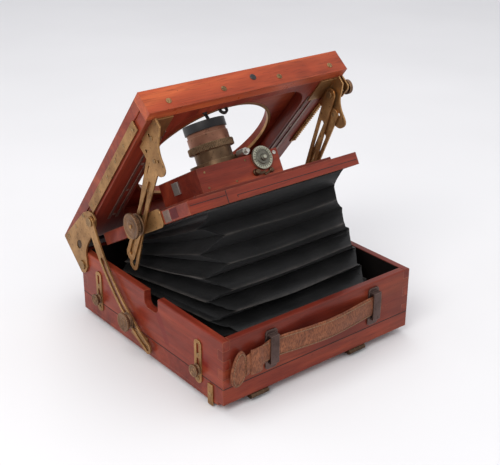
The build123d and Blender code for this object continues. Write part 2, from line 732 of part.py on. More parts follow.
def make_arms(name, x, pivot, length, slot_from, slot_to, bore):
    """A pair of slotted bars from their pivots through the clamp studs of the front panel."""
    reach_s = STUD_ST_S - pivot[0]
    reach_t = STUD_ST_T - pivot[1]
    turn = math.degrees(math.atan2(reach_t, reach_s))
    with BuildPart() as arms:
        for side in SIDES:
            with BuildSketch(bed_side_plane(side * x)):
                with Locations(Location((pivot[0], pivot[1], 0), (0, 0, turn))):
                    with Locations(((length - ARM_WIDTH / 2) / 2, 0)):
                        SlotCenterToCenter(length - ARM_WIDTH / 2, ARM_WIDTH)
                    with Locations(((slot_from + slot_to) / 2, 0)):
                        SlotOverall(slot_to - slot_from, ARM_SLOT, mode=Mode.SUBTRACT)
                    Circle(bore, mode=Mode.SUBTRACT)
            extrude(amount=side * ARM_T)
    save(arms, name)


make_arms("arms_lower", ARM_A_X, ARM_A_PIVOT, ARM_A_LENGTH, 30, 146, ARM_PIN_R + 0.05)
make_arms("arms_upper", ARM_B_X, ARM_B_PIVOT, ARM_B_LENGTH, 25, 118, ARM_PIN_R + 0.05)

# ------------------------------------------------------------------ front panel, side plates, clamp knobs
PANEL_OPENING = 110.0
PLATE_Q = (46.0, 118.0)
PLATE_H = (-2.0, 15.0)
PLATE_T = 1.5

with BuildPart() as front_panel:
    with BuildSketch(PANEL):
        with Locations((0, PANEL_HEIGHT / 2)):
            Rectangle(2 * PANEL_HALF, PANEL_HEIGHT)
        with Locations((0, LENS_Q)):
            Rectangle(PANEL_OPENING, PANEL_OPENING, mode=Mode.SUBTRACT)
    extrude(amount=PANEL_T)
save(front_panel, "front_panel")

with BuildPart() as side_plates:
    for side in SIDES:
        with BuildSketch(Plane(origin=(side * PANEL_HALF, *PANEL_EDGE), x_dir=PANEL.y_dir, z_dir=(1, 0, 0))):
            with Locations((sum(PLATE_Q) / 2, 0)):
                with Locations((0, sum(PLATE_H) / 2)):
                    RectangleRounded(PLATE_Q[1] - PLATE_Q[0], PLATE_H[1] - PLATE_H[0], 5)
        extrude(amount=side * PLATE_T)
        side_cylinder(side, CLAMP_POINT, PANEL_HALF + PLATE_T, PANEL_HALF + PLATE_T + 13, CLAMP_STUD_R)
save(side_plates, "panel_side_plates")

CLAMP_X = 104.3

for side, word in zip(SIDES, ("left", "right")):
    with BuildPart() as clamp_knob:
        side_cylinder(side, CLAMP_POINT, CLAMP_X, CLAMP_X + 1.6, 10.5, CLAMP_STUD_R + 0.05)
        side_cylinder(side, CLAMP_POINT, CLAMP_X + 1.6, CLAMP_X + 4.6, 7.5, CLAMP_STUD_R + 0.05)
        side_cylinder(side, CLAMP_POINT, CLAMP_X + 4.6, CLAMP_X + 8.8, 12.3, CLAMP_STUD_R + 0.05)
    save(clamp_knob, f"clamp_knob_{word}")

# ------------------------------------------------------------------ lens board and roller-blind shutter
BOARD_Q = (14.0, 150.0)
BOARD_HALF = 79.0
BOX_H = (15.0, 40.0)
BOX_Q = (50.0, 122.0)
BOX_HALF = 48.0
BOX_WALL = 4.0

with BuildPart() as lens_board:
    with BuildSketch(PANEL.offset(PANEL_T)):
        with Locations((0, sum(BOARD_Q) / 2)):
            Rectangle(2 * BOARD_HALF, BOARD_Q[1] - BOARD_Q[0])
        with Locations((0, LENS_Q)):
            Circle(24, mode=Mode.SUBTRACT)
    extrude(amount=LENS_BOARD_T)
save(lens_board, "lens_board")

with BuildPart() as shutter_box:
    with BuildSketch(PANEL.offset(BOX_H[0])):
        with Locations((0, LENS_Q)):
            Rectangle(2 * BOX_HALF, BOX_Q[1] - BOX_Q[0])
            Circle(20, mode=Mode.SUBTRACT)
    extrude(amount=BOX_H[1] - BOX_H[0])
    with BuildSketch(PANEL.offset(BOX_H[0] + BOX_WALL)):
        with Locations((0, LENS_Q)):
            Rectangle(2 * BOX_HALF - 2 * BOX_WALL, BOX_Q[1] - BOX_Q[0] - 2 * BOX_WALL)
    extrude(amount=BOX_H[1] - BOX_H[0] - 2 * BOX_WALL, mode=Mode.SUBTRACT)
save(shutter_box, "shutter_box")

DIAL = (27.0, 34.0)         # x and height on the strap-side face of the box
DIAL_R = 11.5
NOZZLE_X = 10.8
NOZZLE_H = 44.0

with BuildPart() as shutter_fittings:
    with Locations(PANEL.offset(0)):
        with Locations((-BOX_HALF - 0.8, 91.5, 30)):
            Box(1.6, 11, 12)
        with Locations((-BOX_HALF - 0.4, 84, 15.9)):
            Box(0.8, 66, 1.5)
        with Locations((NOZZLE_X, 54, NOZZLE_H)):
            Cylinder(3.6, 12, rotation=(90, 0, 0))
        with Locations((NOZZLE_X, 46, NOZZLE_H)):
            Cylinder(2.0, 4, rotation=(90, 0, 0))
        with Locations((43.0, BOX_Q[0] - 0.5, 36)):
            Cylinder(1.9, 1.0, rotation=(90, 0, 0))
save(shutter_fittings, "shutter_fittings")

with BuildPart() as shutter_dial:
    with Locations(PANEL.offset(0)):
        with Locations((DIAL[0], BOX_Q[0] - 1.6, DIAL[1])):
            Cylinder(DIAL_R, 3.2, rotation=(90, 0, 0))
        with Locations((DIAL[0], BOX_Q[0] - 4.2, DIAL[1])):
            Cylinder(3.4, 2.0, rotation=(90, 0, 0))
save(shutter_dial, "shutter_dial")

with BuildPart() as shutter_lever:
    with Locations(PANEL.offset(0)):
        with Locations((BOX_HALF + 2.2, 66, 31)):
            Cylinder(5.2, 4.4, rotation=(0, 90, 0))
save(shutter_lever, "winding_knob")

# ------------------------------------------------------------------ lens
BARREL_BORE = 15.0


def turned_lens(name, steps):
    """Rings turned on the lens axis: each step is its lower and upper height and its radius."""
    with BuildPart() as rings:
        for low, high, radius in steps:
            with BuildSketch(PANEL.offset(low)):
                with Locations((0, LENS_Q)):
                    Circle(radius)
                    Circle(BARREL_BORE, mode=Mode.SUBTRACT)
            extrude(amount=high - low)
    save(rings, name)


turned_lens("lens_flange", [(40, 45, 26), (45, 56, 18.5), (56, 63, 19)])
turned_lens("lens_barrel", [(63, 72, 20.5), (72, 76, 19.6)])
turned_lens("lens_hood", [(76, 84.5, 21.2)])

with BuildPart() as iris_ring:
    with BuildSketch(PANEL.offset(56.1)):
        with Locations((0, LENS_Q)):
            Circle(23)
            Circle(19.05, mode=Mode.SUBTRACT)
    extrude(amount=6.8)
save(iris_ring, "iris_ring")

with BuildPart() as glasses:
    for low, high in ((47.0, 52.0), (74.0, 79.0)):
        with BuildSketch(PANEL.offset(low)):
            with Locations((0, LENS_Q)):
                Circle(BARREL_BORE - 0.02)
        extrude(amount=high - low)
save(glasses, "lens_elements")

# ------------------------------------------------------------------ bellows, three sections
BELLOWS_LOW = ((-105.0, 30.5), (106.0, 30.5), 98.0)       # strap end, hinge end, half width
BELLOWS_Q = (6.0, 159.0)
BELLOWS_TOP = (panel_point(BELLOWS_Q[0], -1.0), panel_point(BELLOWS_Q[1], -1.0), 93.0)
SECTIONS = (("bellows_rear", 0.0, 0.36), ("bellows_middle", 0.365, 0.65), ("bellows_front", 0.655, 1.0))


def between(low, high, part):
    """Point part of the way from one y, z point to another."""
    return low[0] + (high[0] - low[0]) * part, low[1] + (high[1] - low[1]) * part


def bellows_outline(part):
    """Rectangle across the bellows at a fraction of its way up, as a sketch."""
    strap_end = between(BELLOWS_LOW[0], BELLOWS_TOP[0], part)
    hinge_end = between(BELLOWS_LOW[1], BELLOWS_TOP[1], part)
    half = BELLOWS_LOW[2] + (BELLOWS_TOP[2] - BELLOWS_LOW[2]) * part
    run = Vector(0, hinge_end[0] - strap_end[0], hinge_end[1] - strap_end[1])
    up = Vector(1, 0, 0).cross(run.normalized())
    middle = (0, (strap_end[0] + hinge_end[0]) / 2, (strap_end[1] + hinge_end[1]) / 2)
    with BuildSketch(Plane(origin=middle, x_dir=(1, 0, 0), z_dir=up), mode=Mode.PRIVATE) as outline:
        Rectangle(2 * half, run.length)
    return outline.sketch


for name, low, high in SECTIONS:
    with BuildPart() as bellows:
        loft([bellows_outline(low).face(), bellows_outline(high).face()], ruled=True)
    save(bellows, name)
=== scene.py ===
"""Looks for a folding field camera lying on its back: wood, brass, leather, glass, light and camera.

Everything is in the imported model's frame. Blender's lengths are in metres. Points given to mm(), bed()
and panel(), and the sizes given to Shape's parts, are in millimetres.
"""

import math
import random

import bmesh
import bpy
from mathutils import Matrix, Vector, noise


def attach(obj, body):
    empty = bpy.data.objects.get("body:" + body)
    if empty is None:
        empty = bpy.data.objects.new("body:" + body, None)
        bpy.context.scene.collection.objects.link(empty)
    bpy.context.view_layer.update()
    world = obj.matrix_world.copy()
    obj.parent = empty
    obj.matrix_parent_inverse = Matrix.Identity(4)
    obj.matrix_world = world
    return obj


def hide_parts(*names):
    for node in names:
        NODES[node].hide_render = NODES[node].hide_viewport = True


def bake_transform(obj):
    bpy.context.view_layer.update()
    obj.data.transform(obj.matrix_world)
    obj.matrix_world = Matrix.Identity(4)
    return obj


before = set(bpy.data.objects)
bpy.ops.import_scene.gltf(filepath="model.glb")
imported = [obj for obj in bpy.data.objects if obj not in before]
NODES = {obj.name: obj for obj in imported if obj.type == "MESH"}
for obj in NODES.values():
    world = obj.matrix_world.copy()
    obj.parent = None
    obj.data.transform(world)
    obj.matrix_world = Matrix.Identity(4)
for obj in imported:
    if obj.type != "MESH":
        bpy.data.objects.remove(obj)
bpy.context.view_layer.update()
SIDES = ((-1, "left"), (1, "right"))
X = Vector((1, 0, 0))

# ---------------------------------------------------------------- the object's two slanted planes
BED_ANGLE = math.radians(50.9)
BED_OUT = Vector((0, -math.cos(BED_ANGLE), math.sin(BED_ANGLE)))
BED_IN = Vector((0, -math.sin(BED_ANGLE), -math.cos(BED_ANGLE)))
BED_REAR = Vector((0, 148.5, 74.2))
TILT = math.radians(29.5)
PANEL_DOWN = Vector((0, math.cos(TILT), -math.sin(TILT)))
PANEL_UP = Vector((0, math.sin(TILT), math.cos(TILT)))
PANEL_EDGE = Vector((0, -55.5, 162.3))


def mm(v):
    """A vector in millimetres as metres."""
    return Vector(v) * 0.001


def bed(x, s, t):
    """Metres in the row frame of a point s along the bed and t into it."""
    return mm(BED_REAR + BED_OUT * s + BED_IN * t + X * x)


def panel(x, q, h):
    """Metres in the row frame of a point q down the panel and h above it."""
    return mm(PANEL_EDGE + PANEL_DOWN * q + PANEL_UP * h + X * x)


# ---------------------------------------------------------------- material helpers
class Graph:
    """A node material under construction."""

    def __init__(self, name):
        self.mat = bpy.data.materials.new(name)
        self.mat.use_nodes = True
        self.tree = self.mat.node_tree
        self.bsdf = self.tree.nodes["Principled BSDF"]

    def add(self, kind, values=None, **props):
        """Add a node; values are its inputs by name or number: constants or sockets to link."""
        made = self.tree.nodes.new(kind)
        for key, value in props.items():
            setattr(made, key, value)
        for key, value in (values or {}).items():
            self.put(made.inputs[key], value)
        return made

    def put(self, socket, value):
        """Set a socket to a constant, or link another socket to it."""
        if isinstance(value, bpy.types.NodeSocket):
            self.tree.links.new(value, socket)
        else:
            socket.default_value = value

    def shader(self, **values):
        """Set inputs of the surface shader; underscores stand for spaces."""
        for key, value in values.items():
            self.put(self.bsdf.inputs[key.replace("_", " ")], value)

    def ramp(self, source, stops):
        """Colour ramp over (position, colour) stops, greys given as numbers."""
        made = self.add("ShaderNodeValToRGB", {"Fac": source})
        ramp = made.color_ramp
        while len(ramp.elements) < len(stops):
            ramp.elements.new(0.5)
        for element, (place, colour) in zip(ramp.elements, stops):
            element.position = place
            element.color = (colour,) * 3 + (1,) if isinstance(colour, (int, float)) else (*colour, 1)
        return made.outputs["Color"]

    def mix(self, factor, first, second, mode="MIX"):
        """Mixed colour of two colours or colour sockets."""
        made = self.add("ShaderNodeMix", {0: factor}, data_type="RGBA", blend_type=mode)
        for key, value in ((6, first), (7, second)):
            self.put(made.inputs[key], (*value, 1) if isinstance(value, tuple) else value)
        return made.outputs[2]

    def math(self, operation, first, second=0.0):
        """One step of arithmetic on two numbers or sockets."""
        made = self.add("ShaderNodeMath", {0: first, 1: second}, operation=operation)
        return made.outputs[0]

    def place(self):
        """Position in the part's own frame, in metres."""
        return self.add("ShaderNodeTexCoord").outputs["Object"]

    def along(self, source, axes):
        """Position measured along three scaled axes."""
        parts = []
        for axis in axes:
            dot = self.add("ShaderNodeVectorMath", {0: source, 1: axis}, operation="DOT_PRODUCT")
            parts.append(dot.outputs["Value"])
        joined = self.add("ShaderNodeCombineXYZ", dict(enumerate(parts)))
        return joined.outputs[0]

    def to_line(self, source, start, end):
        """Distance of a position from the line between two points, in metres."""
        run = end - start
        off = self.add("ShaderNodeVectorMath", {0: source, 1: start}, operation="SUBTRACT").outputs[0]
        share_way = run / run.length_squared      # a dot product with this is the share of the run
        scaled = self.add("ShaderNodeVectorMath", {0: off, 1: share_way}, operation="DOT_PRODUCT")
        share = self.add("ShaderNodeClamp", {"Value": scaled.outputs["Value"]}).outputs[0]
        near = self.add("ShaderNodeVectorMath", {0: run, "Scale": share}, operation="SCALE").outputs[0]
        gap = self.add("ShaderNodeVectorMath", {0: off, 1: near}, operation="DISTANCE")
        return gap.outputs["Value"]

    def noise(self, source, scale, detail=4.0, rough=0.55, twist=0.0):
        """Value of a noise texture."""
        made = self.add(
            "ShaderNodeTexNoise",
            {"Vector": source, "Scale": scale, "Detail": detail, "Roughness": rough, "Distortion": twist},
        )
        return made.outputs["Fac"]

    def edges(self, radius, low=0.80, high=0.985):
        """One on the outside edges and corners of a solid, zero on its flats."""
        rounded = self.add("ShaderNodeBevel", {"Radius": radius}, samples=6)
        flat = self.add("ShaderNodeNewGeometry")
        values = {0: rounded.outputs[0], 1: flat.outputs["Normal"]}
        dot = self.add("ShaderNodeVectorMath", values, operation="DOT_PRODUCT")
        return self.ramp(dot.outputs["Value"], [(low, 1.0), (high, 0.0)]), rounded.outputs[0]

    def bump(self, height, strength, distance, normal=None):
        """Normal bumped by a height."""
        made = self.add("ShaderNodeBump", {"Height": height, "Strength": strength, "Distance": distance})
        if normal is not None:
            self.put(made.inputs["Normal"], normal)
        return made.outputs[0]


def wood(name, grain, across, tone_and_light=1.0, marks=(), gloss=0.30, gold=1.0, lining_and_shade=None):
    """French-polished mahogany with its grain along a direction, and darker unfaded marks."""
    g = Graph(name)
    grain, across = Vector(grain).normalized(), Vector(across).normalized()
    third = grain.cross(across)
    where = g.place()
    figure = g.along(where, (grain * 4.0, across * 34.0, third * 34.0))
    pores_at = g.along(where, (grain * 55.0, across * 1300.0, third * 1300.0))
    band = g.noise(figure, 1.0, 5.0, 0.6, 0.8)
    # tone_and_light scales the whole wood colour: the piece's own tone, and for the rail and the shutter box
    # also painted light on their lit front faces
    dark = tuple(c * tone_and_light for c in (0.115, 0.0125 * gold, 0.0070))
    middle = tuple(c * tone_and_light for c in (0.195, 0.0260 * gold, 0.0130))
    light = tuple(c * tone_and_light for c in (0.300, 0.0540 * gold, 0.0220))
    colour = g.ramp(band, [(0.30, dark), (0.50, middle), (0.72, light)])
    fine = g.noise(g.along(where, (grain * 14.0, across * 260.0, third * 260.0)), 1.0, 3.0)
    colour = g.mix(0.42, colour, g.ramp(fine, [(0.35, 0.62), (0.65, 1.15)]), "MULTIPLY")
    pore = g.ramp(g.noise(pores_at, 1.0, 2.0), [(0.56, 0.0), (0.66, 1.0)])
    colour = g.mix(g.math("MULTIPLY", pore, 0.34), colour, (0.045, 0.009, 0.006))
    patina = g.noise(where, 11.0, 4.0, 0.6)
    colour = g.mix(g.ramp(patina, [(0.52, 0.0), (0.72, 0.38)]), colour, (0.05, 0.012, 0.008))
    for start, end, radius in marks:
        gap = g.to_line(where, mm(start), mm(end))
        spot = g.ramp(g.math("DIVIDE", gap, radius * 0.001), [(0.80, 0.70), (1.0, 0.0)])
        colour = g.mix(spot, colour, (0.150, 0.010, 0.008))
    if lining_and_shade:
        apart = g.add("ShaderNodeSeparateXYZ", {0: where})
        shares = []
        for output, half in zip(apart.outputs, lining_and_shade):
            shares.append(g.math("DIVIDE", g.math("ABSOLUTE", output), half * 0.001))
        inside = g.ramp(g.math("MAXIMUM", shares[0], shares[1]), [(0.996, 1.0), (1.0, 0.0)])
        colour = g.mix(inside, colour, (0.006, 0.0058, 0.0056))
    worn, rounded = g.edges(0.0011)
    scuff = g.noise(where, 95.0, 3.0)
    worn = g.math("MULTIPLY", worn, g.ramp(scuff, [(0.38, 0.1), (0.66, 0.8)]))
    colour = g.mix(worn, colour, (0.34, 0.125, 0.055))
    nicks = g.ramp(g.noise(where, 210.0, 2.0), [(0.71, 0.0), (0.75, 1.0)])
    colour = g.mix(g.math("MULTIPLY", nicks, 0.5), colour, (0.045, 0.010, 0.006))
    smear = g.noise(where, 38.0, 5.0, 0.65)
    g.shader(
        Base_Color=colour,
        Roughness=g.ramp(smear, [(0.3, gloss), (0.75, gloss + 0.2)]),
        Coat_Weight=0.10,
        Coat_Roughness=0.14,
        Specular_IOR_Level=0.22,
        Specular_Tint=(1.0, 0.72, 0.62, 1.0),
        Normal=g.bump(g.math("ADD", pore, nicks), 0.25, -0.0001, rounded),
    )
    return g.mat


def metal(name, bright, dull, rough=0.34, dirt=0.5, edge=None, scratch=0.3, radius=0.0005):
    """Old metal: bright ground, tarnish in patches, worn edges, fine scratches."""
    g = Graph(name)
    where = g.place()
    cloud = g.noise(where, 46.0, 6.0, 0.66)
    spots = g.noise(where, 330.0, 3.0, 0.6)
    colour = g.mix(g.ramp(cloud, [(0.5 - dirt * 0.28, 0.0), (0.78, 1.0)]), bright, dull)
    dark = tuple(c * 0.35 for c in dull)
    colour = g.mix(g.ramp(spots, [(0.60, 0.0), (0.72, 0.8)]), colour, dark)
    worn, rounded = g.edges(radius)
    colour = g.mix(g.math("MULTIPLY", worn, 0.7), colour, edge or bright)
    lines = g.noise(g.along(where, (X * 60.0, Vector((0, 900, 300)), Vector((0, -300, 900)))), 1.0, 4.0)
    g.shader(
        Base_Color=colour,
        Metallic=0.93,
        Roughness=g.ramp(cloud, [(0.3, rough), (0.75, min(rough + 0.26, 0.9))]),
        Normal=g.bump(lines, scratch, 0.00012, rounded),
    )
    return g.mat


LINING = (105.7, 109.7)      # half sizes of the blackened inside of the body
WALL_MARKS = (
    ((-112.5, 66.5, 45.5), (-112.5, 66.5, 43.5), 5.0),
    ((-112.5, -91.0, 43.0), (-112.5, -91.0, 40.0), 5.6),
    ((-112.5, -20.0, 54.0), (-112.5, -32.0, 33.0), 4.2),
)
MATS = {
    "wall_long": wood("mahogany_long_walls", (0, 1, 0), (0, 0, 1), 1.05, WALL_MARKS, lining_and_shade=LINING),
    "wall_short": wood("mahogany_short_walls", (1, 0, 0), (0, 0, 1), 0.90, lining_and_shade=LINING),
    "back": wood("mahogany_back", (1, 0, 0), (0, 1, 0), 1.0),
    "bed": wood("mahogany_bed", (1, 0, 0), BED_OUT, 1.15, gold=1.1),
    "bed_frame": wood("mahogany_sliding_frame", BED_OUT, (1, 0, 0), 1.0),
    # the rail is nearly twice as bright: its own more orange wood, and painted light on its lit front face
    "rail": wood("mahogany_rail", (1, 0, 0), BED_OUT, 1.95, gloss=0.24, gold=1.30),
    "panel": wood("mahogany_panel", (1, 0, 0), PANEL_DOWN, 1.0),
    # the shutter box is a third brighter: its own tone, and painted light on its lit front face
    "shutter": wood("mahogany_shutter", (1, 0, 0), PANEL_UP, 1.35),
    "brass": metal("brass_aged", (0.48, 0.262, 0.100), (0.155, 0.076, 0.034), 0.36, 0.72, (0.68, 0.42, 0.18)),
    "brass_dark": metal("brass_screws", (0.36, 0.22, 0.10), (0.10, 0.055, 0.03), 0.4, 0.7, (0.6, 0.42, 0.2)),
    "knob": metal("brass_knobs", (0.26, 0.145, 0.080), (0.085, 0.045, 0.028), 0.36, 0.65, (0.60, 0.40, 0.22)),
    "bronze": metal("bronze_hinges", (0.14, 0.085, 0.05), (0.05, 0.03, 0.02), 0.42, 0.6, (0.30, 0.19, 0.10)),
    "steel": metal(
        "bronze_clips", (0.135, 0.088, 0.078), (0.060, 0.036, 0.030), 0.42, 0.6, (0.34, 0.24, 0.20)
    ),
    "track": metal("brass_tracks", (0.30, 0.21, 0.17), (0.12, 0.07, 0.055), 0.34, 0.6, (0.5, 0.38, 0.3)),
    "lens_brass": metal(
        "brass_lens_mount", (0.21, 0.130, 0.072), (0.075, 0.044, 0.027), 0.34, 0.6, (0.62, 0.46, 0.26)
    ),
    "silver": metal("nickel_silver", (0.62, 0.60, 0.55), (0.30, 0.27, 0.22), 0.32, 0.4, (0.8, 0.78, 0.72)),
    "lacquer": metal(
        "brass_lacquered", (0.34, 0.165, 0.105), (0.22, 0.10, 0.065), 0.36, 0.4, (0.62, 0.42, 0.26)
    ),
    "enamel": metal(
        "black_enamel", (0.012, 0.012, 0.013), (0.02, 0.018, 0.017), 0.3, 0.3, (0.14, 0.10, 0.06)
    ),
    "dial": metal("dial_plate", (0.21, 0.205, 0.165), (0.085, 0.082, 0.066), 0.38, 0.6, (0.5, 0.48, 0.38)),
    "dial_rim": metal("dial_scale", (0.44, 0.44, 0.34), (0.20, 0.20, 0.15), 0.36, 0.5, (0.7, 0.68, 0.55)),
    # near black: dark joints, and painted shade for the batten inside the bed
    "gap": metal("dark_joint_and_shade", (0.012, 0.005, 0.004), (0.006, 0.004, 0.004), 0.7, 0.4, (0.02, 0.01, 0.008)),
    # dark red, for the painted shade on the panel's left end face
    "painted_shade": metal(
        "dark_red_painted_shade", (0.10, 0.006, 0.007), (0.045, 0.004, 0.004), 0.8, 0.4, (0.14, 0.02, 0.018)
    ),
}
for key, metallic in (("enamel", 0.1), ("gap", 0.0), ("painted_shade", 0.0)):
    MATS[key].node_tree.nodes["Principled BSDF"].inputs["Metallic"].default_value = metallic


def glass(name, rough, tint):
    """Clear or ground optical glass."""
    g = Graph(name)
    dust = g.noise(g.place(), 420.0, 4.0)
    g.shader(
        Base_Color=tint,
        Roughness=g.ramp(dust, [(0.3, rough), (0.8, rough + 0.08)]),
        Transmission_Weight=0.85,
        IOR=1.52,
        Coat_Weight=0.2,
    )
    return g.mat


def bellows_leather():
    """Black bellows cloth, rubbed grey along its folds."""
    g = Graph("bellows_cloth")
    where = g.place()
    grain = g.add("ShaderNodeTexVoronoi", {"Vector": where, "Scale": 900.0})
    cloud = g.noise(where, 30.0, 6.0, 0.65)
    base = g.ramp(cloud, [(0.3, (0.0030, 0.0031, 0.0033)), (0.75, (0.0085, 0.0082, 0.0080))])
    rub = g.add("ShaderNodeAttribute", attribute_name="rub").outputs["Fac"]
    patch = g.ramp(g.noise(where, 85.0, 5.0, 0.7), [(0.34, 0.10), (0.66, 1.0)])
    colour = g.mix(g.math("MULTIPLY", rub, patch), base, (0.070, 0.061, 0.054))
    streak = g.noise(g.along(where, (X * 30.0, Vector((0, 240, 60)), Vector((0, 60, 240)))), 1.0, 5.0)
    colour = g.mix(g.ramp(streak, [(0.60, 0.0), (0.80, 0.22)]), colour, (0.040, 0.038, 0.036))
    height = g.math("ADD", grain.outputs["Distance"], g.math("MULTIPLY", cloud, 1.6))
    g.shader(
        Base_Color=colour,
        Roughness=g.ramp(cloud, [(0.3, 0.46), (0.8, 0.68)]),
        Specular_IOR_Level=0.30,
        Sheen_Weight=0.04,
        Normal=g.bump(height, 0.34, 0.0004),
    )
    return g.mat


def strap_leather(name, low, high):
    """Brown strap leather with a crossed grain and darkened hollows."""
    g = Graph(name)
    where = g.place()
    crossed = []
    for way in (1, -1):
        axes = (Vector((1250, 0, 330 * way)), Vector((0, 300, 0)), Vector((-80 * way, 0, 300)))
        crossed.append(g.noise(g.along(where, axes), 1.0, 2.0))
    weave = g.math("MULTIPLY", *crossed)
    cloud = g.noise(where, 70.0, 5.0, 0.65)
    colour = g.ramp(cloud, [(0.3, low), (0.7, high)])
    colour = g.mix(g.ramp(weave, [(0.19, 0.62), (0.28, 0.0)]), colour, (0.052, 0.015, 0.008))
    pale = g.ramp(g.noise(where, 240.0, 3.0), [(0.60, 0.0), (0.74, 0.30)])
    colour = g.mix(pale, colour, (0.38, 0.165, 0.085))
    g.shader(
        Base_Color=colour,
        Roughness=g.ramp(cloud, [(0.3, 0.52), (0.8, 0.72)]),
        Specular_IOR_Level=0.25,
        Sheen_Weight=0.02,
        Normal=g.bump(g.math("ADD", weave, g.math("MULTIPLY", cloud, 0.5)), 0.6, 0.0006),
    )
    return g.mat


def thread_material():
    """Waxed linen thread."""
    g = Graph("linen_thread")
    twist = g.noise(g.place(), 1500.0, 2.0)
    g.shader(
        Base_Color=g.ramp(twist, [(0.3, (0.10, 0.045, 0.02)), (0.7, (0.30, 0.17, 0.09))]),
        Roughness=0.7,
        Normal=g.bump(twist, 0.4, 0.0002),
    )
    return g.mat


MATS["glass"] = glass("lens_glass", 0.02, (0.80, 0.86, 0.88, 1))
MATS["ground"] = glass("ground_glass", 0.42, (0.78, 0.82, 0.80, 1))
MATS["bellows"] = bellows_leather()
MATS["strap"] = strap_leather("strap_leather", (0.150, 0.046, 0.020), (0.30, 0.105, 0.046))
MATS["thread"] = thread_material()

CARRIED = {
    "wall_long": ("body_wall_left", "body_wall_right"),
    "wall_short": ("body_wall_strap_side", "body_wall_hinge_side"),
    "back": ("bellows_frame", "swing_back_frame", "reversing_back", "screen_frame"),
    "bed": ("bed_board",),
    "bed_frame": ("rack_frame",),
    "rail": ("front_rail",),
    "panel": ("front_panel", "lens_board"),
    "shutter": ("shutter_box",),
    "bronze": ("screen_hinge_leaves", "screen_hinge_straps"),
    "steel": ("strap_clips",),
    "lacquer": ("lens_barrel",),
    "lens_brass": ("lens_flange",),
    "knob": ("focus_knob",),
    "enamel": ("lens_hood", "iris_ring", "rail_fittings"),
    "glass": ("lens_elements",),
    "ground": ("ground_glass",),
    "silver": ("shutter_fittings",),
    "brass_dark": ("bed_pins", "arm_pins", "body_studs"),
}
finish_of = {node: key for key, names in CARRIED.items() for node in names}
for node, solid in NODES.items():
    solid.data.materials.clear()
    solid.data.materials.append(MATS[finish_of.get(node, "brass")])

# ---------------------------------------------------------------- mesh helpers
COLLECTION = bpy.context.scene.collection


def piece(name, vertices, faces, material, body, replaced=(), smooth=35):
    """Make one mesh piece, shade it and fasten it to a body."""
    mesh = bpy.data.meshes.new(name)
    mesh.from_pydata([tuple(v) for v in vertices], [], faces)
    made = bmesh.new()
    made.from_mesh(mesh)
    bmesh.ops.recalc_face_normals(made, faces=made.faces)
    made.to_mesh(mesh)
    made.free()
    mesh.polygons.foreach_set("use_smooth", [True] * len(mesh.polygons))
    mesh.set_sharp_from_angle(angle=math.radians(smooth))
    obj = bpy.data.objects.new(name, mesh)
    COLLECTION.objects.link(obj)
    mesh.materials.append(MATS[material])
    if body:
        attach(obj, body)
    if replaced:
        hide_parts(*replaced)
    return obj


